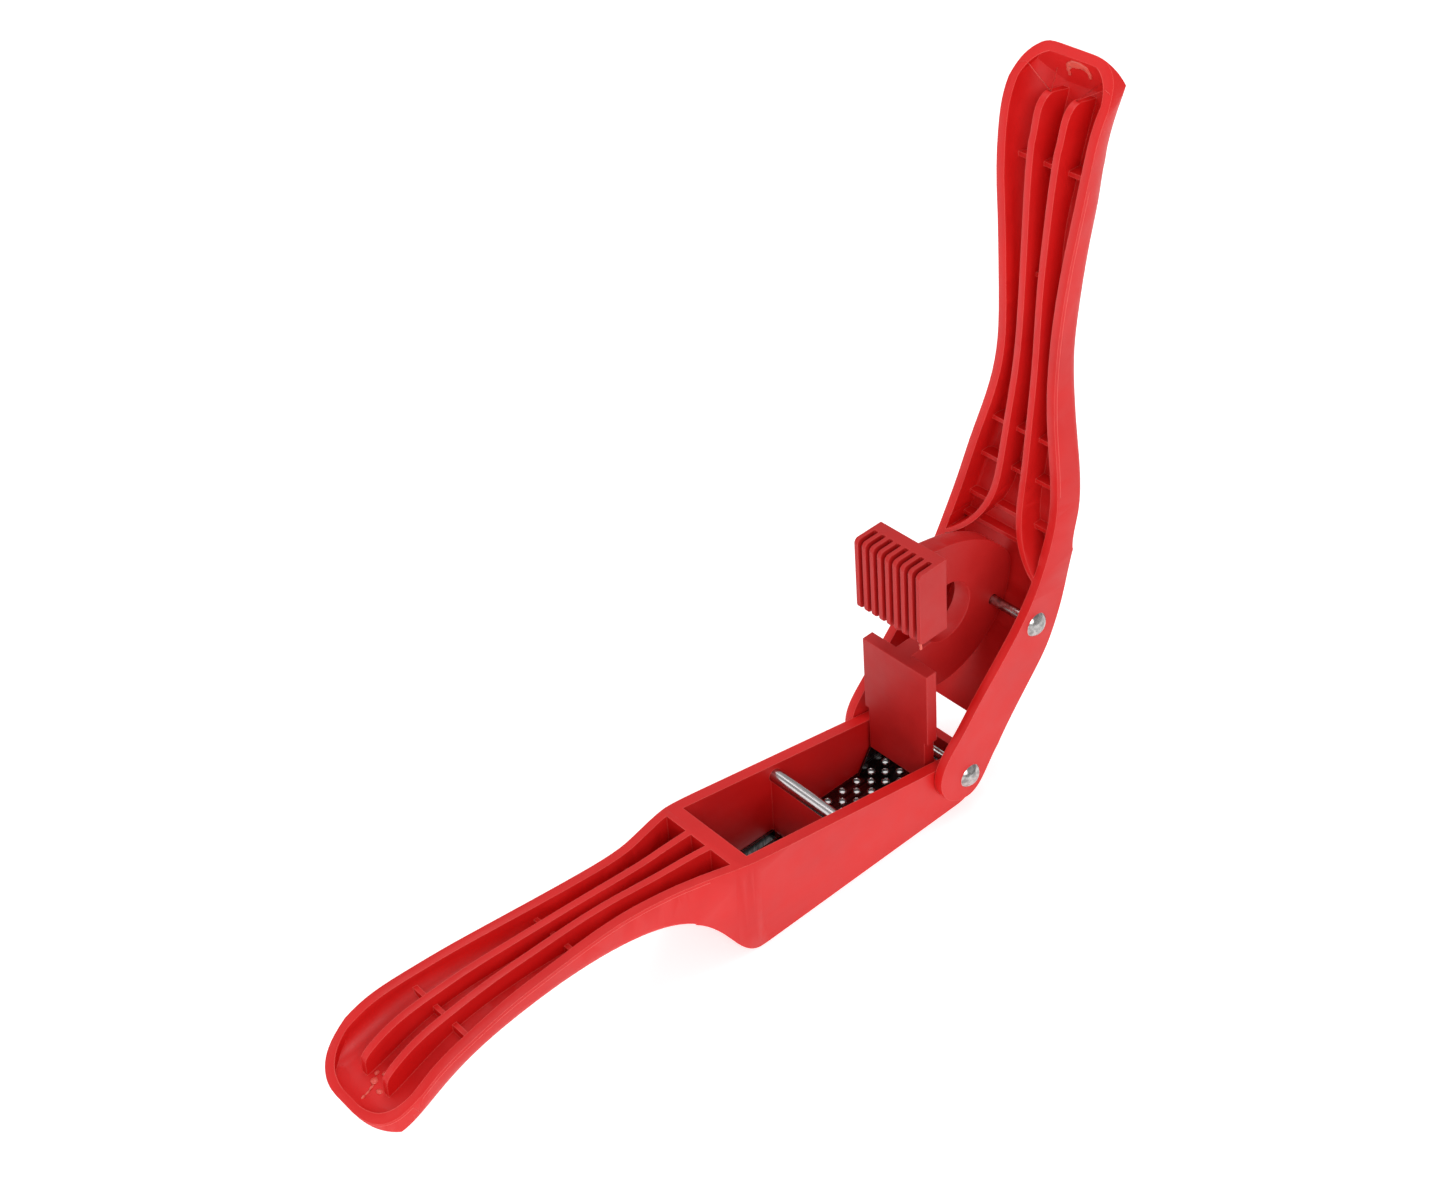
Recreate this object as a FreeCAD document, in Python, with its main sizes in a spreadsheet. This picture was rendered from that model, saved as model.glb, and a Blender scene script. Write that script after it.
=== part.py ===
import FreeCAD, Part
import math
import os

# Garlic press with a slicing block.  It stands on the flat underside of its lower body.
# Origin on the underside, under the crossbar; +X towards the hinge, +Y across, +Z up.
# The lever and the pusher are drawn closed about the hinge axis, then turned open.

os.makedirs("parts", exist_ok=True)
doc = FreeCAD.newDocument("garlic_press")
V = FreeCAD.Vector

# ---------------------------------------------------------------- driving dimensions (mm)
SIZES = {
    "hinge_x": 45.0,
    "hinge_z": 12.0,
    "open_angle": 88.5,
    "body_half_width": 15.9,
    "chamber_half_width": 12.5,
    "chamber_front_x": -32.8,
    "chamber_rear_x": 50.8,
    "partition_thickness": 3.0,
    "shell": 2.6,
    "lower_tip_x": -150.4,
    "upper_tip_x": -191.6,
    "divider_half": 1.5,
    "divider_top_z": 21.0,
    "rear_floor_x": 47.0,
    "rear_floor_height": 3.0,
    "rib_thickness": 2.0,
    "cross_rib_thickness": 1.3,
    "arm_inner_y": 16.2,
    "arm_outer_y": 18.9,
    "hinge_pin_radius": 1.6,
    "pusher_pin_radius": 1.5,
    "pin_clearance": 0.05,
    "head_radius": 3.65,
    "head_height": 1.9,
    "crossbar_radius": 2.0,
    "crossbar_z": 21.7,
    "crossbar_half_length": 14.5,
    "pivot_x": -38.8,
    "pivot_z": 26.6,
    "web_thickness": 5.7,
    "keyhole_x": -45.8,
    "keyhole_z": 7.9,
    "keyhole_radius": 9.2,
    "plate_top_x": -38.7,
    "plate_step_x": -13.6,
    "plate_end_x": 1.5,
    "plate_front_z": -9.8,
    "plate_thickness": 3.8,
    "plate_half_width": 12.1,
    "plate_narrow_half": 10.8,
    "block_near_x": -51.0,
    "block_far_x": -74.6,
    "block_front_z": -11.6,
    "block_back_z": -1.4,
    "block_half_width": 11.9,
    "fin_count": 9,
    "groove_depth": 6.4,
    "fin_round": 1.5,
    "sheet_thickness": 0.6,
    "sheet_bottom_z": 0.6,
    "sheet_start_x": 2.0,
    "sheet_end_x": 47.0,
    "sheet_half_width": 14.0,
    "sheet_hole_radius": 0.8,
    "sheet_hole_step": 2.9,
    "ear_outer_y": 12.1,
    "ear_thickness": 0.6,
    "ear_top_z": 15.8,
    "ear_hole_gap": 0.3,
    "frame_start_x": -32.8,
    "frame_end_x": -2.0,
    "frame_bar": 1.6,
    "frame_bottom_z": 0.6,
    "frame_thickness": 1.6,
    "frame_window_half": 12.25,
    "blade_thickness": 0.4,
    "blade_height": 4.4,
}
sheet = doc.addObject("Spreadsheet::Sheet", "sizes")
for row, (alias, value) in enumerate(SIZES.items(), start=1):
    sheet.set(f"A{row}", alias)
    sheet.set(f"B{row}", str(value))
    sheet.setAlias(f"B{row}", alias)
doc.recompute()


def size(alias):
    return float(sheet.get(alias))


HINGE_X = size("hinge_x")
HINGE_Z = size("hinge_z")
BODY_HALF = size("body_half_width")
FRONT_X = size("chamber_front_x")
SHELL = size("shell")
ARM_OUT = size("arm_outer_y")
RIB = size("rib_thickness")

# ---------------------------------------------------------------- handle sections
# Stations along each handle: x, half width, rim z, back z, radius of the back's two edges.
LOWER_STATIONS = [
    (-151.6, 15.6, 24.6, 20.6, 2.8),
    (-146.2, 16.0, 26.8, 21.2, 4.6),
    (-141.1, 16.2, 30.0, 21.9, 5.6),
    (-131.8, 15.6, 34.4, 25.0, 6.2),
    (-120.7, 14.4, 36.1, 28.2, 5.0),
    (-108.9, 13.1, 36.8, 29.2, 4.0),
    (-96.3, 12.0, 36.6, 28.7, 4.0),
    (-83.3, 11.0, 36.2, 27.3, 3.8),
    (-69.6, 10.5, 35.3, 25.2, 3.0),
    (-59.6, 10.9, 34.2, 23.0, 2.0),
    (-50.8, 12.2, 33.5, 19.3, 1.0),
]
# The upper handle is drawn closed about the hinge axis, so its rim is its low side.
UPPER_STATIONS = [
    (-193.0, 15.0, 58.2, 61.5, 2.5),
    (-187.6, 15.6, 56.0, 63.4, 6.8),
    (-178.9, 15.7, 49.9, 62.6, 11.6),
    (-170.7, 15.3, 47.4, 59.8, 11.2),
    (-155.9, 14.0, 45.3, 55.6, 6.6),
    (-146.8, 12.8, 44.5, 53.6, 4.4),
    (-135.0, 11.5, 43.5, 52.7, 4.0),
    (-122.5, 10.5, 42.7, 52.1, 4.0),
    (-112.0, 10.2, 42.0, 51.6, 4.0),
    (-101.8, 10.9, 40.8, 51.0, 3.6),
    (-90.8, 13.0, 39.1, 49.7, 3.2),
    (-79.3, 15.8, 37.3, 47.8, 2.4),
    (-67.3, 17.8, 34.5, 44.7, 1.2),
    (-56.8, 18.6, 29.9, 41.4, 0.4),
]
# Rounded ends of the handles in plan: distance from the tip, half width.
TIP_PLAN = [(0.0, 0.0), (0.5, 6.4), (2.1, 10.9), (5.0, 14.0), (9.3, 15.6), (15.0, 16.4)]
TIP_RIM = 2.0  # width of the rim round the tips
# Each tip ends in a bowl: distance of its centre from the tip, half width of its flat middle,
# and profiles of the outside and the cavity as (radius, z), from the rim to the back.
BOWL_CENTRE = 15.6
LOWER_FLAT = 6.5
UPPER_FLAT = 5.0
LOWER_BOWL = [(17.8, 27.0), (15.6, 25.0), (13.6, 23.4), (11.0, 22.0), (6.0, 21.2), (0.0, 20.9)]
LOWER_BOWL_FLOOR = [(16.3, 28.8), (14.6, 26.6), (12.4, 25.0), (9.2, 24.1), (5.0, 23.7), (0.0, 23.5)]
UPPER_BOWL = [(17.8, 55.8), (15.6, 57.5), (12.6, 59.7), (8.5, 61.6), (4.0, 62.8), (0.0, 63.2)]
UPPER_BOWL_FLOOR = [(15.9, 53.8), (14.0, 55.8), (11.2, 57.8), (7.4, 59.5), (3.0, 60.5), (0.0, 60.8)]
# Side outline of the chamber's front: top edge, then the underside up to the flat.
CHAMBER_TOP = [(-50.8, 33.5), (-42.0, 33.0), (-36.5, 32.4)]
CHAMBER_FRONT = [(-32.6, 0.0), (-34.6, 0.6), (-38.4, 3.9), (-42.0, 9.4), (-46.0, 15.0), (-50.8, 19.3)]
CHAMBER_PLAN = [(-50.8, 12.2), (-42.0, 14.3), (-36.5, 15.4), (-31.0, 15.82), (-26.0, 15.89),
                (-20.0, BODY_HALF)]
RIM_SLOPE = -0.19
# Arm of the upper handle: front edge from the handle to the round end, and back edge.
ARM_FRONT = [(-56.8, 29.9), (-49.7, 26.0), (-41.9, 20.5), (-35.6, 14.8), (-27.0, 6.2), (-22.5, 1.9),
             (-18.0, -2.1), (-14.0, -6.2), (-10.4, -9.4), (-7.2, -11.0), (-3.8, -11.6)]
ARM_BACK = [(-56.8, 41.4), (-49.6, 39.0), (-41.1, 36.7), (-34.3, 34.1), (-28.0, 30.8), (-22.2, 26.2),
            (-12.4, 17.6), (-4.2, 11.3)]
ARM_PLAN = [(-56.8, 18.6), (-52.0, 18.8), (-46.0, ARM_OUT)]


# ---------------------------------------------------------------- helpers
def bound(obj, **links):
    """Bind properties of obj to expressions over the sheet."""
    for prop, expression in links.items():
        obj.setExpression(prop, expression)
    return obj


def spline(points):
    curve = Part.BSplineCurve()
    curve.interpolate([V(a, b, 0) for a, b in points])
    return curve


def line(a, b):
    return Part.LineSegment(V(*a, 0), V(*b, 0))


def arc(a, middle, b):
    return Part.Arc(V(*a, 0), V(*middle, 0), V(*b, 0))


def polygon(points):
    return [line(a, b) for a, b in zip(points, points[1:] + points[:1])]


SIDE_PLANE = FreeCAD.Rotation(V(1, 0, 0), 90)
PLAN_PLANE = FreeCAD.Rotation()
SECTION_PLANE = FreeCAD.Rotation(V(0, 1, 0), V(0, 0, 1), V(1, 0, 0))


def drawing(name, plane, curves, x=0.0):
    sketch = doc.addObject("Sketcher::SketchObject", name)
    sketch.Placement = FreeCAD.Placement(V(x, 0, 0), plane)
    for curve in curves:
        sketch.addGeometry(curve, False)
    return sketch


def prism(name, plane, curves, length):
    """Extrude a drawing evenly to both sides of its plane; length is an expression."""
    solid = doc.addObject("Part::Extrusion", name)
    solid.Base = drawing(name + "_outline", plane, curves)
    solid.DirMode = "Normal"
    solid.Solid = True
    solid.Symmetric = True
    return bound(solid, LengthFwd=length)


def placed(obj, x, y, z):
    obj.setExpression("Placement.Base.x", x)
    obj.setExpression("Placement.Base.y", y)
    obj.setExpression("Placement.Base.z", z)
    return obj


def block(name, x, y, z):
    """A box whose (low, high) spans along x, y and z are expressions."""
    box = doc.addObject("Part::Box", name)
    spans = [f"({high}) - ({low})" for low, high in (x, y, z)]
    bound(box, Length=spans[0], Width=spans[1], Height=spans[2])
    return placed(box, x[0], y[0], z[0])


def rod(name, radius, x, z, low, high):
    """A round bar along Y from low to high."""
    bar = doc.addObject("Part::Cylinder", name)
    bar.Placement = FreeCAD.Placement(V(0, 0, 0), FreeCAD.Rotation(V(1, 0, 0), -90))
    bound(bar, Radius=radius, Height=f"({high}) - ({low})")
    return placed(bar, x, low, z)


def common(name, a, b):
    both = doc.addObject("Part::Common", name)
    both.Base = a
    both.Tool = b
    return both


def cut(name, base, tool):
    rest = doc.addObject("Part::Cut", name)
    rest.Base = base
    rest.Tool = tool
    return rest


def fuse(name, shapes):
    whole = doc.addObject("Part::MultiFuse", name)
    whole.Shapes = shapes
    return whole


def channel_section(name, x, half, rim, back, radius):
    """Section across a handle: flat across the rim, two rounded corners at the back."""
    up = 1 if rim > back else -1
    knee = back + up * radius
    bend = radius * (1 - math.sqrt(0.5))
    return drawing(name, SECTION_PLANE, [
        line((-half, rim), (-half, knee)),
        arc((-half, knee), (-half + bend, back + up * bend), (-half + radius, back)),
        line((-half + radius, back), (half - radius, back)),
        arc((half - radius, back), (half - bend, back + up * bend), (half, knee)),
        line((half, knee), (half, rim)),
        line((half, rim), (-half, rim)),
    ], x)


def handle_loft(name, stations):
    loft = doc.addObject("Part::Loft", name)
    loft.Sections = [channel_section(f"{name}_section_{i}", *station)
                     for i, station in enumerate(stations, start=1)]
    loft.Solid = True
    loft.Ruled = False
    return loft


def hollow(stations, shell):
    """Stations of the cavity: in from the sides and the back, and out past the rim."""
    inner = []
    for x, half, rim, back, radius in stations:
        out = 1 if rim > back else -1
        inner.append((x, half - shell, rim + 3 * out, back + shell * out, max(0.8 * radius, 0.6)))
    return inner


def tip_plan(name, tip_x, inset):
    """Plan outline with the handle's rounded end, open far to the right."""
    near = [(tip_x + inset + x, y * (1 - inset / 15.5)) for x, y in TIP_PLAN]
    far = mirrored(near[:0:-1])
    end = 90.0
    wide = 30.0
    x, y = near[-1]
    return prism(name, PLAN_PLANE, [
        spline(far + near),
        line((x, y), (x, wide)),
        line((x, wide), (end, wide)),
        line((end, wide), (end, -wide)),
        line((end, -wide), (x, -wide)),
        line((x, -wide), (x, -y)),
    ], "300")


def bowl(name, tip_x, flat, profile, rim_z):
    """A bowl at a handle's tip, flat across its middle, with everything further along the handle."""
    centre = tip_x + BOWL_CENTRE
    start = profile[0]
    outline = [
        spline(profile),
        line(profile[-1], (0.0, rim_z)),
        line((0.0, rim_z), (start[0], rim_z)),
        line((start[0], rim_z), start),
    ]
    parts = []
    for side, y in (("far", flat), ("near", -flat)):
        dome = doc.addObject("Part::Revolution", f"{name}_{side}")
        dome.Source = drawing(f"{name}_{side}_profile", SIDE_PLANE, outline, centre)
        dome.Source.Placement.Base.y = y
        dome.Base = V(centre, y, 0)
        dome.Axis = V(0, 0, 1)
        dome.Angle = 360
        dome.Solid = True
        parts.append(dome)
    middle = [spline([(-r, z) for r, z in profile]),
              line((0.0, profile[-1][1]), (0.0, rim_z)),
              line((0.0, rim_z), (-start[0], rim_z)),
              line((-start[0], rim_z), (-start[0], start[1]))]
    between = prism(name + "_middle", SIDE_PLANE, middle, f"{2 * flat}")
    between.Base.Placement.Base.x = centre
    rest = block(name + "_rest", (f"{centre}", "90"), ("-30", "30"), ("-80", "120"))
    return fuse(name, parts + [between, rest])


def handle(name, stations, tip_x, inset, flat, profile, rim_z):
    """A handle or its cavity: the loft, cut to the rounded plan and to the bowl of the tip."""
    planned = common(name + "_planned", handle_loft(name + "_loft", stations),
                     tip_plan(name + "_tip", tip_x, inset))
    return common(name, planned, bowl(name + "_bowl", tip_x, flat, profile, rim_z))


def flared_plan(name, points, inset, end):
    """Plan outline that widens from points[0] and then runs straight to x = end."""
    near = [(x, y - inset) for x, y in points]
    far = [(x, -y) for x, y in near]
    return prism(name, PLAN_PLANE, [
        spline(near),
        line(near[-1], (end, near[-1][1])),
        line((end, near[-1][1]), (end, far[-1][1])),
        line((end, far[-1][1]), far[-1]),
        spline(far),
        line(far[0], near[0]),
    ], "300")


def rib_strip(name, points, thickness):
    """A thin upright rib that follows points in plan."""
    half = thickness / 2
    low = [(x, y - half) for x, y in points]
    high = [(x, y + half) for x, y in points]
    return prism(name, PLAN_PLANE, [
        spline(low), line(low[-1], high[-1]), spline(high), line(high[0], low[0]),
    ], "300")


def mirrored(points):
    return [(x, -y) for x, y in points]


def cross_rib(name, x, half, z):
    return block(name, (f"{x} - sizes.cross_rib_thickness / 2", f"{x} + sizes.cross_rib_thickness / 2"),
                 (str(-half), str(half)), z)


# ---------------------------------------------------------------- lower body
rim_end = (HINGE_X, CHAMBER_TOP[-1][1] + RIM_SLOPE * (HINGE_X - CHAMBER_TOP[-1][0]))
nose = (HINGE_X + 8.6, HINGE_Z - 1.0)
chamber_side = prism("chamber_side", SIDE_PLANE, [
    spline(CHAMBER_TOP),
    line(CHAMBER_TOP[-1], rim_end),
    arc(rim_end, (HINGE_X + 6.2, HINGE_Z + 3.6), nose),
    arc(nose, (HINGE_X + 5.6, 3.2), (HINGE_X - 2.0, 0.0)),
    line((HINGE_X - 2.0, 0.0), CHAMBER_FRONT[0]),
    spline(CHAMBER_FRONT),
    line(CHAMBER_FRONT[-1], CHAMBER_TOP[0]),
], "2 * sizes.body_half_width + 10")
chamber_plan = flared_plan("chamber_plan", CHAMBER_PLAN, 0.0, 70.0)
chamber_outer = common("chamber_outer", chamber_side, chamber_plan)
handle_outer = handle("lower_handle", LOWER_STATIONS, size("lower_tip_x"), 0.0, LOWER_FLAT,
                      LOWER_BOWL, 60.0)
lower_outer = fuse("lower_outer", [handle_outer, chamber_outer])

# Ribbed hollow of the handle, up to the partition.
partition_x = FRONT_X - size("partition_thickness")
hollow_front = prism("hollow_front", SIDE_PLANE, [
    spline([(x, z + SHELL) for x, z in CHAMBER_FRONT[2:]]),
    line((CHAMBER_FRONT[-1][0], CHAMBER_FRONT[-1][1] + SHELL), (CHAMBER_FRONT[-1][0], 40.0)),
    line((CHAMBER_FRONT[-1][0], 40.0), (CHAMBER_FRONT[2][0], 40.0)),
    line((CHAMBER_FRONT[2][0], 40.0), (CHAMBER_FRONT[2][0], CHAMBER_FRONT[2][1] + SHELL)),
], "60")
hollow_front_plan = flared_plan("hollow_front_plan", CHAMBER_PLAN, SHELL, 0.0)
hollow_wide = common("hollow_wide", hollow_front, hollow_front_plan)
hollow_half = block("hollow_half", ("-60", f"{partition_x}"), ("-30", "30"), ("-10", "60"))
hollow_wide_cut = common("hollow_wide_cut", hollow_wide, hollow_half)
hollow_long = handle("lower_hollow", hollow(LOWER_STATIONS, SHELL), size("lower_tip_x"), TIP_RIM,
                     LOWER_FLAT, LOWER_BOWL_FLOOR, 60.0)
lower_hollow = fuse("lower_hollow_all", [hollow_long, hollow_wide_cut])

LOWER_RIB_PLAN = [(-141.8, 4.5), (-120.7, 3.9), (-96.0, 3.1), (-70.0, 2.7), (-52.0, 3.2), (-30.0, 4.3)]
lower_rib_side = prism("lower_rib_side", SIDE_PLANE, [
    line((-141.8, 16.0), (-141.2, 28.0)),
    spline([(-141.2, 28.0), (-140.6, 29.8), (-139.0, 31.2), (-135.6, 33.0), (-130.0, 35.6)]),
    line((-130.0, 35.6), (-130.0, 42.0)),
    line((-130.0, 42.0), (-20.0, 42.0)),
    line((-20.0, 42.0), (-20.0, -2.0)),
    line((-20.0, -2.0), (-141.8, 16.0)),
], "40")
lower_strips = fuse("lower_strips", [rib_strip("lower_rib_far", LOWER_RIB_PLAN, RIB),
                                     rib_strip("lower_rib_near", mirrored(LOWER_RIB_PLAN), RIB)])
lower_ribs = common("lower_ribs", lower_strips, lower_rib_side)
lower_cross = [
    cross_rib("lower_cross_1", -120.4, 14, ("20", "33.0")),
    cross_rib("lower_cross_2", -85.4, 14, ("20", "32.4")),
    cross_rib("lower_cross_3", -56.1, 14, ("10", "28.6")),
]
lower_pockets = cut("lower_pockets", lower_hollow, fuse("lower_rib_set", [lower_ribs] + lower_cross))
lower_shell = cut("lower_shell", lower_outer, lower_pockets)

# Two chambers over open outlet windows, parted by a wall under the crossbar.
chamber = block("chamber", ("sizes.chamber_front_x", "sizes.chamber_rear_x"),
                ("-sizes.chamber_half_width", "sizes.chamber_half_width"), ("-1", "60"))
rear_open = block("rear_open", ("sizes.hinge_x", "70"),
                  ("-sizes.chamber_half_width", "sizes.chamber_half_width"), ("sizes.hinge_z - 0.5", "60"))
divider = block("divider", ("-sizes.divider_half", "sizes.divider_half"), ("-20", "20"),
                ("-2", "sizes.divider_top_z"))
rear_floor = block("rear_floor", ("sizes.rear_floor_x", "sizes.chamber_rear_x + 1"), ("-20", "20"),
                   ("-2", "sizes.rear_floor_height"))
chamber_room = cut("chamber_room", chamber, fuse("chamber_kept", [divider, rear_floor]))
hinge_bore = rod("hinge_bore", "sizes.hinge_pin_radius + sizes.pin_clearance",
                 "sizes.hinge_x", "sizes.hinge_z", "-20", "20")
crossbar_seat = rod("crossbar_seat", "sizes.crossbar_radius", "0", "sizes.crossbar_z",
                    "-sizes.crossbar_half_length", "sizes.crossbar_half_length")
sheet_slot = block("sheet_slot", ("sizes.sheet_start_x", "sizes.sheet_end_x"),
                   ("-sizes.sheet_half_width", "sizes.sheet_half_width"),
                   ("sizes.sheet_bottom_z", "sizes.sheet_bottom_z + sizes.sheet_thickness"))
frame_slot = block("frame_slot", ("sizes.frame_start_x", "sizes.frame_end_x"),
                   ("-sizes.sheet_half_width", "sizes.sheet_half_width"),
                   ("sizes.frame_bottom_z", "sizes.frame_bottom_z + sizes.frame_thickness"))
openings = fuse("lower_openings", [chamber_room, rear_open, hinge_bore, crossbar_seat,
                                   sheet_slot, frame_slot])
lower_body = cut("lower_body", lower_shell, openings)

# ---------------------------------------------------------------- upper lever (closed about the hinge axis)
upper_handle = handle("upper_handle", UPPER_STATIONS, size("upper_tip_x"), 0.0, UPPER_FLAT,
                      UPPER_BOWL, 20.0)
front_end = ARM_FRONT[-1]
back_end = ARM_BACK[-1]
arm_side = prism("arm_side", SIDE_PLANE, [
    spline(ARM_FRONT),
    arc(front_end, (4.6, -7.4), (7.2, -1.0)),
    spline([(7.2, -1.0), (6.4, 2.4), (3.6, 5.4), (-0.6, 8.4), back_end]),
    spline(ARM_BACK[::-1]),
    line(ARM_BACK[0], ARM_FRONT[0]),
], "60")
arm_pair = common("arm_pair", arm_side, flared_plan("arm_plan", ARM_PLAN, 0.0, 40.0))
upper_outer = fuse("upper_outer", [upper_handle, arm_pair])

upper_hollow_long = handle("upper_hollow", hollow(UPPER_STATIONS, SHELL), size("upper_tip_x"), TIP_RIM,
                           UPPER_FLAT, UPPER_BOWL_FLOOR, 20.0)
inner_back = [(x, z - SHELL) for x, z in ARM_BACK]
arm_gap_side = prism("arm_gap_side", SIDE_PLANE, [
    spline(inner_back),
    line(inner_back[-1], (30.0, inner_back[-1][1])),
    line((30.0, inner_back[-1][1]), (30.0, -40.0)),
    line((30.0, -40.0), (inner_back[0][0], -40.0)),
    line((inner_back[0][0], -40.0), inner_back[0]),
], "2 * sizes.arm_inner_y")
arm_gap_end = block("arm_gap_end", ("-8.7", "30"), ("-sizes.arm_inner_y", "sizes.arm_inner_y"), ("-30", "40"))
upper_hollow = fuse("upper_hollow_all", [upper_hollow_long, arm_gap_side, arm_gap_end])

UPPER_RIB_PLAN = [(-180.4, 4.4), (-155.9, 3.8), (-135.0, 3.1), (-112.0, 3.1), (-90.0, 3.8), (-76.0, 4.3),
                  (-68.0, 4.9), (-62.0, 6.8), (-57.5, 9.8), (-53.9, 13.8), (-51.6, 18.0)]
upper_rib_side = prism("upper_rib_side", SIDE_PLANE, [
    line((-177.6, 66.0), (-179.9, 54.6)),
    spline([(-179.9, 54.6), (-179.7, 52.4), (-178.4, 50.6), (-175.4, 49.0), (-168.0, 46.6)]),
    line((-168.0, 46.6), (-168.0, 20.0)),
    line((-168.0, 20.0), (-46.0, 20.0)),
    line((-46.0, 20.0), (-46.0, 66.0)),
    line((-46.0, 66.0), (-177.6, 66.0)),
], "60")
upper_strips = fuse("upper_strips", [rib_strip("upper_rib_far", UPPER_RIB_PLAN, RIB),
                                     rib_strip("upper_rib_near", mirrored(UPPER_RIB_PLAN), RIB)])
upper_ribs = common("upper_ribs", upper_strips, upper_rib_side)
upper_cross = [
    cross_rib("upper_cross_1", -162.0, 16, ("50.6", "62")),
    cross_rib("upper_cross_2", -132.0, 3.2, ("47.4", "58")),
    cross_rib("upper_cross_3", -86.0, 16, ("42.0", "58")),
    cross_rib("upper_cross_4", -73.5, 17, ("40.6", "58")),
    cross_rib("upper_cross_5", -61.3, 18, ("37.4", "58")),
    cross_rib("upper_cross_6", -54.8, 18, ("35.4", "58")),
]
upper_pockets = cut("upper_pockets", upper_hollow, fuse("upper_rib_set", [upper_ribs] + upper_cross))
upper_shell = cut("upper_shell", upper_outer, upper_pockets)
upper_bores = fuse("upper_bores", [
    rod("hinge_seat", "sizes.hinge_pin_radius", "0", "0", "-20", "20"),
    rod("pusher_seat", "sizes.pusher_pin_radius", "sizes.pivot_x", "sizes.pivot_z", "-20", "20"),
])
upper_lever = cut("upper_lever", upper_shell, upper_bores)

# ---------------------------------------------------------------- pusher (closed about the hinge axis)
web_front = prism("web_front", SIDE_PLANE, [
    spline([(-70.6, -2.4), (-68.9, 5.6), (-67.6, 11.0), (-65.4, 16.9), (-62.8, 21.7), (-59.8, 26.0),
            (-55.6, 30.2), (-50.6, 33.4), (-45.0, 33.6), (-39.0, 32.2), (-33.0, 29.2), (-28.5, 25.2),
            (-25.0, 20.6), (-22.8, 15.5), (-21.7, 11.3), (-21.4, 7.1), (-21.6, 3.3), (-22.4, -2.4),
            (-23.6, -7.0)]),
    line((-23.6, -7.0), (-40.0, -7.0)),
    line((-40.0, -7.0), (-50.0, -3.0)),
    line((-50.0, -3.0), (-70.6, -3.0)),
    line((-70.6, -3.0), (-70.6, -2.4)),
], "sizes.web_thickness")
keyhole = fuse("keyhole", [
    rod("keyhole_round", "sizes.keyhole_radius", "sizes.keyhole_x", "sizes.keyhole_z", "-10", "10"),
    block("keyhole_slot", ("sizes.block_near_x", "sizes.plate_top_x"), ("-10", "10"),
          ("-20", "sizes.keyhole_z")),
])
pusher_bore = rod("pusher_bore", "sizes.pusher_pin_radius + sizes.pin_clearance",
                  "sizes.pivot_x", "sizes.pivot_z", "-10", "10")
web = cut("web", web_front, fuse("web_cuts", [keyhole, pusher_bore]))
plate_z = ("sizes.plate_front_z", "sizes.plate_front_z + sizes.plate_thickness")
plate_wide = block("plate_wide", ("sizes.plate_top_x", "sizes.plate_step_x"),
                   ("-sizes.plate_half_width", "sizes.plate_half_width"), plate_z)
plate_narrow = block("plate_narrow", ("sizes.plate_step_x", "sizes.plate_end_x"),
                     ("-sizes.plate_narrow_half", "sizes.plate_narrow_half"), plate_z)
far_x = size("block_far_x")
near_x = size("block_near_x")
front_z = size("block_front_z")
back_z = size("block_back_z")
turn = size("fin_round")
bend = turn * (1 - math.sqrt(0.5))
slicer = prism("slicer", SIDE_PLANE, [
    line((far_x, back_z), (far_x, front_z + turn)),
    arc((far_x, front_z + turn), (far_x + bend, front_z + bend), (far_x + turn, front_z)),
    line((far_x + turn, front_z), (near_x - turn, front_z)),
    arc((near_x - turn, front_z), (near_x - bend, front_z + bend), (near_x, front_z + turn)),
    line((near_x, front_z + turn), (near_x, back_z)),
    line((near_x, back_z), (far_x, back_z)),
], "2 * sizes.block_half_width")
FINS = int(size("fin_count"))
groove_width = 2 * size("block_half_width") / (2 * FINS - 1)
grooves = []
for i in range(FINS - 1):
    y = (i - (FINS - 2) / 2) * 2 * groove_width
    grooves.append(block(f"groove_{i + 1}", ("sizes.block_far_x - 1", "sizes.block_near_x + 1"),
                         (f"{y - groove_width / 2}", f"{y + groove_width / 2}"),
                         ("sizes.block_front_z - 1", "sizes.block_front_z + sizes.groove_depth")))
finned = cut("finned", slicer, fuse("grooves", grooves))
pusher = fuse("pusher", [web, plate_wide, plate_narrow, finned])

# ---------------------------------------------------------------- pins, caps and crossbar
DOME = "(pow(sizes.head_radius; 2) + pow(sizes.head_height; 2)) / (2 * sizes.head_height)"


def dome(name, x, z, side):
    """Domed head on the outside of an arm; side is -1 near, +1 far."""
    ball = doc.addObject("Part::Sphere", name + "_ball")
    bound(ball, Radius=DOME)
    placed(ball, x, f"{side} * (sizes.arm_outer_y + sizes.head_height - {DOME})", z)
    ends = ("sizes.arm_outer_y", "sizes.arm_outer_y + 10") if side > 0 else \
        ("-sizes.arm_outer_y - 10", "-sizes.arm_outer_y")
    keep = block(name + "_side", (f"{x} - 10", f"{x} + 10"), ends, (f"{z} - 10", f"{z} + 10"))
    return common(name + "_dome", ball, keep)


def rivet(name, radius, x, z):
    """A headed pin through both arms, and the separate cap that closes its far end."""
    shaft = rod(name + "_shaft", radius, x, z, "-sizes.arm_outer_y - 0.5", "sizes.arm_outer_y + 0.8")
    pin = fuse(name, [shaft, dome(name, x, z, -1)])
    seat = rod(name + "_cap_seat", radius, x, z, "sizes.arm_outer_y - 1", "sizes.arm_outer_y + 0.8")
    cap = cut(name + "_cap", dome(name + "_cap", x, z, 1), seat)
    return [pin, cap]


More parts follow.
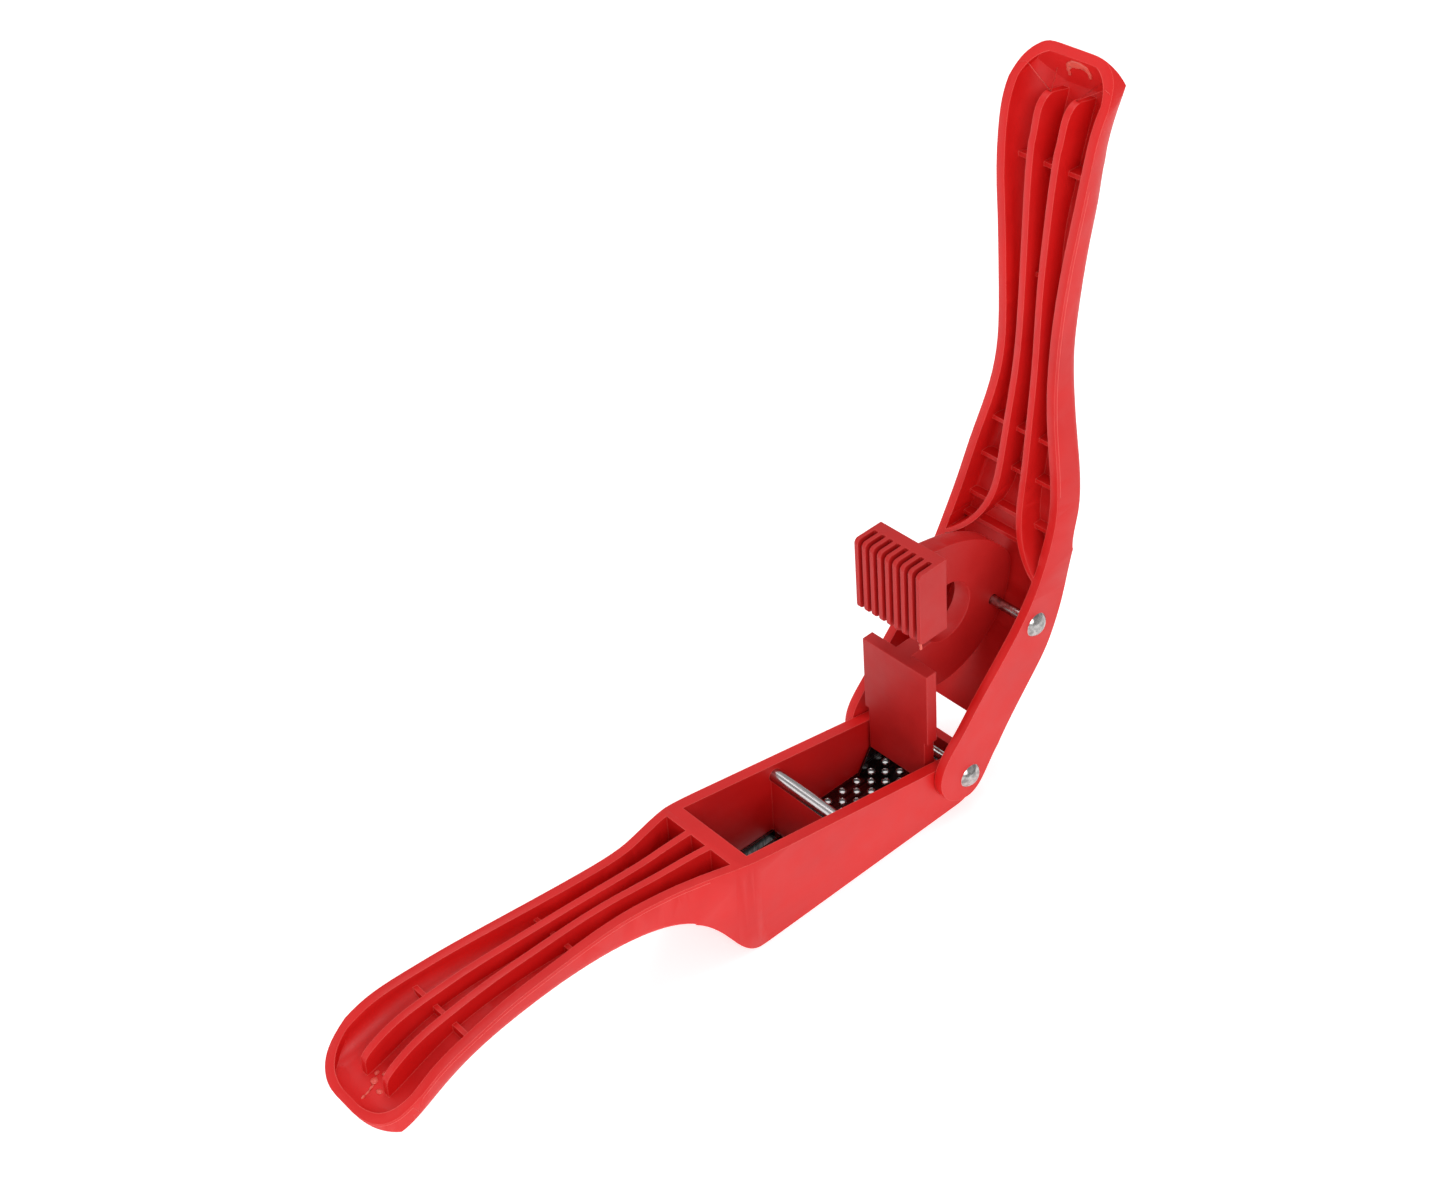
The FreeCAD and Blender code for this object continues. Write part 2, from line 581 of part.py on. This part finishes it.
hinge_pin, hinge_pin_cap = rivet("hinge_pin", "sizes.hinge_pin_radius", "0", "0")
pusher_pin, pusher_pin_cap = rivet("pusher_pin", "sizes.pusher_pin_radius", "sizes.pivot_x", "sizes.pivot_z")
crossbar = rod("crossbar", "sizes.crossbar_radius", "0", "sizes.crossbar_z",
               "-sizes.crossbar_half_length", "sizes.crossbar_half_length")


# ---------------------------------------------------------------- sheet metal
def plane_of(body, role):
    return next(feature for feature in body.Origin.OriginFeatures if feature.Role == role)


def padded(name, role, curves, length, symmetric):
    """A PartDesign body: one sketch on an origin plane, padded by an expression."""
    body = doc.addObject("PartDesign::Body", name)
    sketch = body.newObject("Sketcher::SketchObject", name + "_sketch")
    sketch.AttachmentSupport = [(plane_of(body, role), "")]
    sketch.MapMode = "FlatFace"
    for curve in curves:
        sketch.addGeometry(curve, False)
    pad = body.newObject("PartDesign::Pad", name + "_pad")
    pad.Profile = sketch
    pad.SideType = "Symmetric" if symmetric else "One side"
    bound(pad, Length=length)
    return body


def rectangle(x, y):
    return polygon([(x[0], y[0]), (x[1], y[0]), (x[1], y[1]), (x[0], y[1])])


def perforations():
    """Staggered rows of holes over the sheet's open area."""
    step = size("sheet_hole_step")
    radius = size("sheet_hole_radius")
    first_x = 5.8
    columns = 14
    rows = 8
    holes = []
    for column in range(columns):
        for row in range(rows):
            if (column + row) % 2:
                centre = V(first_x + column * step, (row - (rows - 1) / 2) * step, 0)
                holes.append(Part.Circle(centre, V(0, 0, 1), radius))
    return holes


sheet_y = size("sheet_half_width")
sheet_base = padded(
    "sheet_base", "XY_Plane",
    rectangle((size("sheet_start_x"), size("sheet_end_x")), (-sheet_y, sheet_y)) + perforations(),
    "sizes.sheet_thickness", False)
placed(sheet_base, "0", "0", "sizes.sheet_bottom_z")
ears = []
ear_top = size("ear_top_z")
ear_outline = polygon([(31.0, 0.8), (36.2, 9.0), (40.4, ear_top), (46.6, ear_top - 0.8), (50.2, 11.6),
                       (50.2, 3.4), (46.6, 3.4), (46.6, 0.8)])
for side, low in (("far", "sizes.ear_outer_y - sizes.ear_thickness"), ("near", "-sizes.ear_outer_y")):
    ear = prism(f"ear_{side}", SIDE_PLANE, ear_outline, "sizes.ear_thickness")
    placed(ear.Base, "0", f"{low} + sizes.ear_thickness / 2", "0")
    ears.append(ear)
ear_hole = rod("ear_hole", "sizes.hinge_pin_radius + sizes.ear_hole_gap", "sizes.hinge_x", "sizes.hinge_z",
               "-20", "20")
perforated_sheet = cut("perforated_sheet", fuse("bent_sheet", [sheet_base] + ears), ear_hole)

frame_x = (size("frame_start_x"), size("frame_end_x"))
window_x = (frame_x[0] + size("frame_bar"), frame_x[1] - size("frame_bar"))
window_y = size("frame_window_half")
blade_frame = padded(
    "blade_frame", "XY_Plane",
    rectangle(frame_x, (-sheet_y, sheet_y)) + rectangle(window_x, (-window_y, window_y)),
    "sizes.frame_thickness", False)
placed(blade_frame, "0", "0", "sizes.frame_bottom_z")

blades = []
blade_low = size("frame_bottom_z")
blade_high = blade_low + size("blade_height")
for i in range(FINS - 1):
    y = (i - (FINS - 2) / 2) * 2 * groove_width
    blade = padded(f"slicing_blade_{i + 1}", "XZ_Plane",
                   rectangle(window_x, (blade_low, blade_high)), "sizes.blade_thickness", True)
    placed(blade, "0", f"{y}", "0")
    blades.append(blade)

# ---------------------------------------------------------------- opened about the hinge
doc.recompute()


def opened(node):
    """Turn a piece drawn closed about the hinge axis into the open pose."""
    placed(node, "sizes.hinge_x", "0", "sizes.hinge_z")
    node.Placement.Rotation = FreeCAD.Rotation(V(0, 1, 0), 0)
    node.setExpression("Placement.Rotation.Axis.x", "0")
    node.setExpression("Placement.Rotation.Axis.y", "1")
    node.setExpression("Placement.Rotation.Axis.z", "0")
    node.setExpression("Placement.Rotation.Angle", "sizes.open_angle")


turned = [upper_lever, pusher, hinge_pin, hinge_pin_cap, pusher_pin, pusher_pin_cap]
for node in turned:
    opened(node)
doc.recompute()

nodes = [lower_body, crossbar, perforated_sheet, blade_frame] + blades + turned
for obj in doc.Objects:
    if "Invalid" in obj.State or "Error" in obj.State:
        raise RuntimeError(f"{obj.Name} failed: {obj.State}")
for node in nodes:
    node.Label = node.Name
    if node.Shape.isNull() or not node.Shape.isValid():
        raise RuntimeError(f"{node.Name} has no valid shape")
    if len(node.Shape.Solids) != 1:
        raise RuntimeError(f"{node.Name} is {len(node.Shape.Solids)} solids")
for node in nodes:
    node.Shape.exportStep(f"parts/{node.Label}.step")
    print(node.Label, round(node.Shape.Volume, 1), len(node.Shape.Faces))
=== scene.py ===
"""Garlic press with a slicing block: materials, moulding details, floor, light and camera."""

import math
import random

import bpy
from mathutils import Matrix, Vector
from mathutils.bvhtree import BVHTree


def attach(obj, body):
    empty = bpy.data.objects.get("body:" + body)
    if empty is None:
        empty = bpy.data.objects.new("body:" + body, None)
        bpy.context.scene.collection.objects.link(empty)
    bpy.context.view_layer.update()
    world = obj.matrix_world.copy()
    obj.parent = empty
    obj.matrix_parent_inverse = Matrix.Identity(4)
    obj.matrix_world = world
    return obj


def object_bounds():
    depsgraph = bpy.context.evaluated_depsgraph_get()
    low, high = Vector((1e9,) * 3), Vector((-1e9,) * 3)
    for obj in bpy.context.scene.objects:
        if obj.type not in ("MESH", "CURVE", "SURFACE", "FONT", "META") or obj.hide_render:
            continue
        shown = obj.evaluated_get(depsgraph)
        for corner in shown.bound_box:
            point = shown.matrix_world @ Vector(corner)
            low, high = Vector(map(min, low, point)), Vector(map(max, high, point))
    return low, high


MM = 0.001  # shapes are worked out in millimetres and handed over in metres
NEAR = Vector((0, -1, 0))
UP = Vector((0, 0, 1))
FRONT = Vector((-1, 0, 0))

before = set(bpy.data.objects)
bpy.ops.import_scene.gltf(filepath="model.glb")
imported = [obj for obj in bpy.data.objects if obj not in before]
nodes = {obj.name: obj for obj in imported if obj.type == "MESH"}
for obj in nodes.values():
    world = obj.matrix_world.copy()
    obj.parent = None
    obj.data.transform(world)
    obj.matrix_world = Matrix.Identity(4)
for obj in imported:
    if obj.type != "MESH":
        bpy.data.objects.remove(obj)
cad_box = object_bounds()
scene = bpy.context.scene


# ---------------------------------------------------------------- material building
class Shader:
    """A node tree with one Principled BSDF, built by short calls."""

    def __init__(self, name, **fixed):
        self.material = bpy.data.materials.new(name)
        self.material.use_nodes = True
        self.tree = self.material.node_tree
        self.tree.nodes.clear()
        output = self.add("ShaderNodeOutputMaterial")
        self.bsdf = self.add("ShaderNodeBsdfPrincipled")
        self.link(self.bsdf.outputs["BSDF"], output.inputs["Surface"])
        for socket, value in fixed.items():
            self.bsdf.inputs[socket.replace("_", " ")].default_value = value
        self.place = self.add("ShaderNodeTexCoord").outputs["Object"]

    def add(self, kind, **settings):
        """A new node with the given settings."""
        node = self.tree.nodes.new(kind)
        for key, value in settings.items():
            setattr(node, key, value)
        return node

    def link(self, source, target):
        """Join an output socket to an input socket."""
        self.tree.links.new(source, target)

    def stretched(self, x, y, z):
        """Object coordinates in millimetres, divided by the given lengths."""
        mapping = self.add("ShaderNodeMapping")
        mapping.inputs["Scale"].default_value = (1000 / x, 1000 / y, 1000 / z)
        self.link(self.place, mapping.inputs["Vector"])
        return mapping.outputs["Vector"]

    def noise(self, x, y, z, detail):
        """Noise with features of about x, y and z millimetres."""
        node = self.add("ShaderNodeTexNoise")
        node.inputs["Scale"].default_value = 1.0
        node.inputs["Detail"].default_value = detail
        node.inputs["Roughness"].default_value = 0.55
        self.link(self.stretched(x, y, z), node.inputs["Vector"])
        return node.outputs["Fac"]

    def spread(self, source, low, high, start=0.35, end=0.65):
        """Map start..end of a source to low..high."""
        node = self.add("ShaderNodeMapRange")
        for socket, value in (("From Min", start), ("From Max", end),
                              ("To Min", low), ("To Max", high)):
            node.inputs[socket].default_value = value
        self.link(source, node.inputs["Value"])
        return node.outputs["Result"]

    def maths(self, operation, a, b):
        """Work out one value from two; each is a number or a socket."""
        node = self.add("ShaderNodeMath", operation=operation)
        for socket, value in zip(node.inputs, (a, b)):
            if isinstance(value, (int, float)):
                socket.default_value = value
            else:
                self.link(value, socket)
        return node.outputs["Value"]

    def mix(self, factor, a, b):
        """Blend two colours; each is an (r, g, b) or a socket."""
        node = self.add("ShaderNodeMix", data_type="RGBA")
        colours = [socket for socket in node.inputs if socket.type == "RGBA"]
        for socket, value in zip(colours, (a, b)):
            if isinstance(value, tuple):
                socket.default_value = (*value, 1.0)
            else:
                self.link(value, socket)
        self.link(factor, node.inputs["Factor"])
        return next(socket for socket in node.outputs if socket.type == "RGBA")

    def edges(self, radius_mm):
        """1 on sharp edges, fading to 0 within about radius_mm."""
        rounded = self.add("ShaderNodeBevel", samples=4)
        rounded.inputs["Radius"].default_value = radius_mm * MM
        flat = self.add("ShaderNodeNewGeometry")
        dot = self.add("ShaderNodeVectorMath", operation="DOT_PRODUCT")
        self.link(rounded.outputs["Normal"], dot.inputs[0])
        self.link(flat.outputs["Normal"], dot.inputs[1])
        return self.spread(dot.outputs["Value"], 1.0, 0.0, 0.80, 0.99)

    def bump(self, layers):
        """Stack (height, depth in mm, strength) layers of bump."""
        normal = None
        for height, depth_mm, strength in layers:
            node = self.add("ShaderNodeBump")
            node.inputs["Strength"].default_value = strength
            node.inputs["Distance"].default_value = depth_mm * MM
            self.link(height, node.inputs["Height"])
            if normal:
                self.link(normal, node.inputs["Normal"])
            normal = node.outputs["Normal"]
        self.link(normal, self.bsdf.inputs["Normal"])


def moulded_red(name, deep, light, edge_highlight_and_wear, roughness, grain_mm, grain_depth):
    """Injection-moulded plastic: flow clouds, fine grain, paler edges (a painted highlight,
    partly wear), hair scratches.
    """
    shader = Shader(name, IOR=1.48, Specular_IOR_Level=0.36)
    clouds = shader.noise(28, 28, 28, 4)
    flow = shader.noise(60, 5, 5, 3)
    colour = shader.mix(shader.spread(clouds, 0, 1), deep, light)
    colour = shader.mix(shader.spread(flow, 0, 0.35), colour, light)
    # Paler edges: a painted highlight along the sharp edges, partly standing for wear.
    colour = shader.mix(shader.maths("MULTIPLY", shader.edges(0.35), 0.8), colour, edge_highlight_and_wear)
    shader.link(colour, shader.bsdf.inputs["Base Color"])
    scratches = shader.noise(0.25, 9, 0.25, 2)
    patches = shader.noise(7, 7, 7, 3)
    rough = shader.maths("ADD", shader.spread(patches, roughness - 0.04, roughness + 0.05),
                         shader.spread(scratches, 0.0, 0.05, 0.55, 0.75))
    shader.link(rough, shader.bsdf.inputs["Roughness"])
    grain = shader.noise(grain_mm, grain_mm, grain_mm, 2)
    sink = shader.noise(16, 16, 16, 1)
    shader.bump([(sink, 0.25, 0.25), (grain, grain_depth, 0.35), (scratches, 0.01, 0.2)])
    return shader.material


# Pale colour for steel edges: a painted highlight, partly standing for rubbing.
EDGE_HIGHLIGHT_AND_RUB_STEEL = (0.86, 0.85, 0.84)


def steel(name, dark, bright, roughness, streak, pit_mm, depth):
    """Stainless steel: streaks of the given x, y, z sizes in mm, smudges, pits, paler edges (a
    painted highlight, partly rubbing).
    """
    shader = Shader(name, Metallic=1.0)
    streaks = shader.noise(*streak, 3)
    smudge = shader.noise(6, 6, 6, 3)
    colour = shader.mix(shader.spread(streaks, 0, 1, 0.4, 0.6), dark, bright)
    # Edges paled towards this colour: painted highlight, partly rubbing.
    colour = shader.mix(shader.maths("MULTIPLY", shader.edges(0.12), 0.6), colour, EDGE_HIGHLIGHT_AND_RUB_STEEL)
    shader.link(colour, shader.bsdf.inputs["Base Color"])
    rough = shader.maths("ADD", shader.spread(smudge, roughness - 0.03, roughness + 0.06),
                         shader.spread(streaks, -0.02, 0.03))
    shader.link(rough, shader.bsdf.inputs["Roughness"])
    pits = shader.noise(pit_mm, pit_mm, pit_mm, 2)
    shader.bump([(streaks, depth, 0.3), (pits, depth / 2, 0.15)])
    return shader.material


# Each edge colour below is paler than the plastic: a painted highlight along the edges, partly
# wear.
gloss_red = moulded_red("gloss_red", deep=(0.60, 0.008, 0.008), light=(0.68, 0.011, 0.010),
                        edge_highlight_and_wear=(0.86, 0.13, 0.11), roughness=0.46, grain_mm=0.35,
                        grain_depth=0.014)
matte_red = moulded_red("matte_red", deep=(0.44, 0.008, 0.008), light=(0.51, 0.011, 0.010),
                        edge_highlight_and_wear=(0.70, 0.10, 0.09), roughness=0.52, grain_mm=0.22,
                        grain_depth=0.03)
vestige_red = moulded_red("vestige_red", deep=(0.62, 0.05, 0.04), light=(0.78, 0.12, 0.09),
                          edge_highlight_and_wear=(0.90, 0.30, 0.24), roughness=0.30, grain_mm=0.30,
                          grain_depth=0.02)
polished = steel("polished_steel", dark=(0.40, 0.38, 0.385), bright=(0.56, 0.53, 0.535),
                 roughness=0.20, streak=(0.9, 30, 0.9), pit_mm=0.3, depth=0.006)
domed = steel("domed_steel", dark=(0.26, 0.25, 0.245), bright=(0.50, 0.48, 0.47),
              roughness=0.20, streak=(1.6, 1.6, 1.6), pit_mm=0.4, depth=0.03)
# The punched sheet (also used on the blade frame) has base colours far darker than real steel:
# painted shade and dark reflections of the chamber.
punched = steel("punched_sheet", dark=(0.035, 0.030, 0.030), bright=(0.13, 0.12, 0.12),
                roughness=0.20, streak=(18, 0.6, 0.6), pit_mm=0.3, depth=0.012)
rim_steel = steel("raised_rim_steel", dark=(0.22, 0.21, 0.21), bright=(0.62, 0.60, 0.60),
                  roughness=0.13, streak=(0.6, 0.6, 0.6), pit_mm=0.2, depth=0.03)
# The blade steel is likewise darkened far below real steel: painted shade and dark reflections.
blade_steel = steel("blade_steel", dark=(0.03, 0.028, 0.028), bright=(0.12, 0.115, 0.115),
                    roughness=0.18, streak=(0.4, 0.4, 5), pit_mm=0.2, depth=0.006)

# Every other node is a slicing blade, or a rivet or its cap.
FINISH = {"lower_body": gloss_red, "upper_lever": gloss_red, "pusher": matte_red,
          "perforated_sheet": punched, "blade_frame": punched, "crossbar": polished}
for name, node in nodes.items():
    look = FINISH.get(name, blade_steel if name.startswith("slicing_blade") else domed)
    node.data.materials.clear()
    node.data.materials.append(look)


# ---------------------------------------------------------------- soft moulded edges
def soften(node, width_mm):
    """Round a CAD node's sharp edges with modifiers, leaving its own mesh alone."""
    weld = node.modifiers.new("weld", "WELD")
    weld.merge_threshold = 0.002 * MM
    flat = node.modifiers.new("flat", "DECIMATE")
    flat.decimate_type = "DISSOLVE"
    flat.angle_limit = math.radians(0.6)
    bevel = node.modifiers.new("bevel", "BEVEL")
    bevel.width = width_mm * MM
    bevel.segments = 2
    bevel.limit_method = "ANGLE"
    bevel.angle_limit = math.radians(32)
    bevel.harden_normals = True


EDGE_WIDTHS = {"lower_body": 0.3, "upper_lever": 0.3, "pusher": 0.2, "blade_frame": 0.1}
for name, width in EDGE_WIDTHS.items():
    soften(nodes[name], width)


# ---------------------------------------------------------------- shared shape building
def piece(name, body, material, verts, faces):
    """A smooth-shaded mesh piece that rides a body, kept inside the CAD box."""
    low, high = cad_box
    inside = [[min(max(c * MM, low[i]), high[i]) for i, c in enumerate(v)] for v in verts]
    mesh = bpy.data.meshes.new(name)
    mesh.from_pydata(inside, [], faces)
    mesh.materials.append(material)
    for face in mesh.polygons:
        face.use_smooth = True
    mesh.validate()
    item = bpy.data.objects.new(name, mesh)
    scene.collection.objects.link(item)
    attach(item, body)


def tube(rings, closed):
    """Faces that join equal rings of vertices, in a loop if closed, else with end faces."""
    count = len(rings[0])
    faces = []
    for i in range(len(rings) - (0 if closed else 1)):
        a = i * count
        b = (i + 1) % len(rings) * count
        for j in range(count):
            k = (j + 1) % count
            faces.append((a + j, b + j, b + k, a + k))
    if not closed:
        faces.append(tuple(range(count)))
        faces.append(tuple(range((len(rings) - 1) * count, len(rings) * count))[::-1])
    return faces


def add_tube(verts, faces, rings, closed):
    """Add one more tube to a piece's vertices and faces."""
    start = len(verts)
    verts += [v for ring in rings for v in ring]
    faces += [tuple(start + i for i in face) for face in tube(rings, closed)]


def tube_piece(name, body, material, rings):
    """A piece made of one tube with end faces."""
    piece(name, body, material, [v for ring in rings for v in ring], tube(rings, closed=False))


def circle(steps):
    """Angles of evenly spaced steps round a full turn."""
    return [math.tau * step / steps for step in range(steps)]


def surface(node):
    """Ray-cast tree of a CAD node in the row frame, in millimetres."""
    verts = [node.matrix_world @ v.co / MM for v in node.data.vertices]
    return BVHTree.FromPolygons(verts, [tuple(face.vertices) for face in node.data.polygons])


bpy.context.view_layer.update()
body_skin = surface(nodes["lower_body"])
lever_skin = surface(nodes["upper_lever"])

# ---------------------------------------------------------------- raised rims of the holes
# The perforated sheet's holes lie in staggered rows, so every other place has none.
HOLE_PITCH = 2.9
HOLE_COLUMNS = 14
HOLE_ROWS = 8
FIRST_HOLE_X = 5.8
SHEET_TOP = 1.2
RIM_STEPS = 20
RIM_PROFILE = [(0.80, -0.05), (0.86, 0.10), (0.98, 0.30), (1.10, 0.36),
               (1.22, 0.26), (1.34, 0.02), (1.34, -0.05)]  # radius, height over the sheet

verts, faces = [], []
for column in range(HOLE_COLUMNS):
    for row in range(HOLE_ROWS):
        if (column + row) % 2 == 0:
            continue
        x = FIRST_HOLE_X + column * HOLE_PITCH
        y = (row - (HOLE_ROWS - 1) / 2) * HOLE_PITCH
        rings = [[(x + radius * math.cos(a), y + radius * math.sin(a), SHEET_TOP + height)
                  for radius, height in RIM_PROFILE] for a in circle(RIM_STEPS)]
        add_tube(verts, faces, rings, closed=True)
piece("hole_rims", "base", rim_steel, verts, faces)

# ---------------------------------------------------------------- parting lines of the handles
SEAM_STEPS = 60  # along each side of a handle
TURN_STEPS = 36  # round its tip
SEAM_DROP = 1.1  # below the rim
RIM_INSET = 1.2  # from the handle's outside to a point on its rim
RAY_START = 60  # how far outside the handle the rays start
FACING = 0.2  # least cosine between the wall's normal and the way out
RIDGE = [(-0.05, -0.16), (0.02, -0.12), (0.07, 0.0), (0.02, 0.12), (-0.05, 0.16)]


def point_on(line, t):
    """Point at 0..1 along a polyline, by its first coordinate."""
    x = line[0][0] + t * (line[-1][0] - line[0][0])
    for (x0, y0), (x1, y1) in zip(line, line[1:]):
        if min(x0, x1) <= x <= max(x0, x1):
            return x, y0 + (y1 - y0) * (x - x0) / (x1 - x0)
    return line[-1]


def seam(name, body, skin, spine, tip, turn, rim):
    """A fine ridge round a handle, just below its rim.

    spine holds points inside the handle, from the body to the tip, turn the directions round
    the tip's centre, and rim is the way that the rim faces. RIDGE is the ridge's section, as
    distances out of the wall and towards the rim.
    """
    path = [(point, NEAR) for point in spine]
    path += [(tip, out) for out in turn]
    path += [(point, -NEAR) for point in reversed(spine)]
    rings = []
    for point, out in path:
        edge, *_ = skin.ray_cast(point + out * RAY_START, -out)
        if edge is None:
            continue
        crest, *_ = skin.ray_cast(edge - out * RIM_INSET + rim * RAY_START, -rim)
        if crest is None:
            continue
        level = (crest - point).dot(rim) - SEAM_DROP
        hit, normal, *_ = skin.ray_cast(point + rim * level + out * RAY_START, -out)
        if hit is None or normal.dot(out) < FACING:
            continue
        rings.append([hit + normal * height + rim * shift for height, shift in RIDGE])
    tube_piece(name, body, gloss_red, rings)


fractions = [step / SEAM_STEPS for step in range(SEAM_STEPS + 1)]
turn_angles = [math.radians(-90 - 180 * step / TURN_STEPS) for step in range(1, TURN_STEPS)]

LOWER_LINE = [(-46.0, 27.0), (-80.0, 31.0), (-120.0, 32.0), (-138.0, 27.0)]  # x, z
seam("lower_parting_line", "base", body_skin,
     [Vector((x, 0, z)) for x, z in (point_on(LOWER_LINE, t) for t in fractions)],
     Vector((-138.0, 0, 24.0)), [Vector((math.cos(a), math.sin(a), 0)) for a in turn_angles], UP)

LEVER_LINE = [(88.0, 80.0), (110.0, 86.0), (150.0, 92.0), (176.0, 94.0), (190.0, 102.0)]  # z, x
seam("lever_parting_line", "lever", lever_skin,
     [Vector((x, 0, z)) for z, x in (point_on(LEVER_LINE, t) for t in fractions)],
     Vector((103.0, 0, 190.0)), [Vector((0, math.sin(a), -math.cos(a))) for a in turn_angles],
     FRONT)

# ---------------------------------------------------------------- gate mark in the lower tip
# Small rough domes on the floor of the lower handle's tip, in front of the rib ends.
GATE_SPOTS = [  # x, y, half length, half width, height
    (-145.8, -1.2, 0.75, 0.35, 0.45),
    (-144.2, -0.6, 1.00, 0.28, 0.30),
    (-142.6, 0.0, 0.85, 0.35, 0.35),
    (-141.0, 1.0, 1.10, 0.95, 0.40),
    (-142.0, -2.4, 0.70, 0.90, 0.40),
    (-139.4, 2.2, 0.80, 0.55, 0.45),
    (-138.4, 0.4, 0.60, 0.60, 0.35),
]
GATE_RAY_Z = 36.3
GATE_STEPS = 14
DOME = [(-0.15, 1.05), (0.35, 0.95), (0.75, 0.72), (1.0, 0.38)]  # share of height, of width

gate_along = Vector((1, 0.3, 0)).normalized()
gate_across = UP.cross(gate_along)
rng = random.Random(11)
verts, faces = [], []
for x, y, length, width, height in GATE_SPOTS:
    hit, *_ = body_skin.ray_cast(Vector((x, y, GATE_RAY_Z)), -UP)
    rings = []
    for lift, spread in DOME:
        ring = []
        for a in circle(GATE_STEPS):
            size = spread * rng.uniform(0.82, 1.12)
            rise = height * lift * (rng.uniform(0.8, 1.15) if lift > 0 else 1)
            ring.append(hit + gate_along * (length * size * math.cos(a))
                        + gate_across * (width * size * math.sin(a)) + UP * rise)
        rings.append(ring)
    add_tube(verts, faces, rings, closed=False)
piece("lower_gate_mark", "base", vestige_red, verts, faces)

# ---------------------------------------------------------------- arched mark in the lever's tip
ARCH = [  # y, z, half width along its middle
    (3.1, 195.9, 0.32), (3.2, 197.6, 0.50), (2.5, 199.1, 0.90), (0.8, 199.9, 1.25),
    (-1.2, 200.4, 1.25), (-2.9, 200.0, 0.90), (-3.8, 198.5, 0.50), (-3.7, 196.6, 0.32)]
ARCH_STEPS = 5
ARCH_RAY_X = 70.0
ARCH_SECTION = [(-1.0, -0.15), (-0.85, 0.32), (-0.3, 0.30),
                (0.3, 0.34), (0.85, 0.42), (1.0, -0.15)]  # share of half width, height

rng = random.Random(5)
rings = []
for (y0, z0, w0), (y1, z1, w1) in zip(ARCH, ARCH[1:]):
    side = Vector((0, y1 - y0, z1 - z0)).normalized().cross(FRONT)
    for step in range(ARCH_STEPS):
        t = step / ARCH_STEPS
        middle = Vector((ARCH_RAY_X, y0 + t * (y1 - y0), z0 + t * (z1 - z0)))
        half = (w0 + t * (w1 - w0)) * rng.uniform(0.88, 1.10)
        ring = []
        for across, lift in ARCH_SECTION:
            hit, *_ = lever_skin.ray_cast(middle + side * (across * half), -FRONT)
            ring.append(hit + FRONT * (lift * rng.uniform(0.7, 1.3)))
        rings.append(ring)
tube_piece("lever_tip_mark", "lever", vestige_red, rings)

# ---------------------------------------------------------------- flash on the slicing block
# A thread that hangs from the near front corner of the block.
FLASH_X, FLASH_Y, FLASH_TOP_Z = 32.75, -11.35, 62.7
FLASH_WANDER = 0.12
FLASH_STEPS = 9
FLASH = [(-0.3, 0.50), (0.2, 0.46), (0.7, 0.34),
         (1.1, 0.42), (1.5, 0.36), (1.9, 0.14)]  # drop, radius

rng = random.Random(3)
rings = []
for drop, radius in FLASH:
    centre = Vector((FLASH_X + rng.uniform(-FLASH_WANDER, FLASH_WANDER),
                     FLASH_Y + rng.uniform(-FLASH_WANDER, FLASH_WANDER), FLASH_TOP_Z - drop))
    rings.append([centre + Vector((radius * math.cos(a), radius * math.sin(a), 0))
                  * rng.uniform(0.75, 1.2) for a in circle(FLASH_STEPS)])
tube_piece("block_flash", "pusher", vestige_red, rings)

# ---------------------------------------------------------------- floor
# A pale glowing table, so the floor stays white and throws soft light upwards. From here on
# lengths are in metres.
FLOOR_HALF = 6.0
FLOOR_Z = -0.0002  # just under the object
FLOOR_GLOW = 0.75

floor_mesh = bpy.data.meshes.new("floor")
floor_mesh.from_pydata([(x * FLOOR_HALF, y * FLOOR_HALF, FLOOR_Z)
                        for x, y in ((-1, -1), (1, -1), (1, 1), (-1, 1))], [], [(0, 1, 2, 3)])
floor = bpy.data.objects.new("floor", floor_mesh)
scene.collection.objects.link(floor)
table = Shader("floor", Roughness=0.9)
tone = table.mix(table.noise(120, 120, 120, 2), (0.76, 0.76, 0.76), (0.80, 0.80, 0.80))
table.link(tone, table.bsdf.inputs["Base Color"])
table.link(tone, table.bsdf.inputs["Emission Color"])
table.bsdf.inputs["Emission Strength"].default_value = FLOOR_GLOW
floor_mesh.materials.append(table.material)

# ---------------------------------------------------------------- light
WORLD_STRENGTH = 0.50
AIM = Vector((-0.02, 0.0, 0.07))

world = bpy.data.worlds.new("studio")
scene.world = world
world.use_nodes = True
background = world.node_tree.nodes["Background"]
background.inputs["Color"].default_value = (1, 1, 1, 1)
background.inputs["Strength"].default_value = WORLD_STRENGTH


def softbox(name, where, size, power):
    """A square lamp that faces the object."""
    light = bpy.data.lights.new(name, "AREA")
    light.shape = "SQUARE"
    light.size = size
    light.energy = power
    lamp = bpy.data.objects.new(name, light)
    lamp.location = where
    lamp.rotation_euler = (AIM - Vector(where)).to_track_quat("-Z", "Y").to_euler()
    scene.collection.objects.link(lamp)


softbox("key", (-0.55, -0.95, 0.75), size=0.6, power=6.0)
softbox("top", (0.15, 0.25, 1.2), size=0.8, power=5.0)
softbox("fill", (-0.9, 0.6, 0.6), size=0.6, power=1.5)

# ---------------------------------------------------------------- camera
# Fitted to the photograph: its place, and where the picture's right and up point.
CAMERA_PLACE = Vector((-0.2791, -0.3084, 0.4220))
CAMERA_RIGHT = Vector((0.7417, -0.6685, -0.0547))
CAMERA_UP = Vector((0.4464, 0.4311, 0.7842))

camera_data = bpy.data.cameras.new("camera")
camera_data.lens = 52.67
camera_data.sensor_width = 36.0
camera_data.clip_start = 0.01
camera = bpy.data.objects.new("camera", camera_data)
axes = Matrix((CAMERA_RIGHT, CAMERA_UP, CAMERA_RIGHT.cross(CAMERA_UP)))
camera.matrix_world = Matrix.Translation(CAMERA_PLACE) @ axes.transposed().to_4x4()
scene.collection.objects.link(camera)
scene.camera = camera
scene.view_settings.view_transform = "Standard"
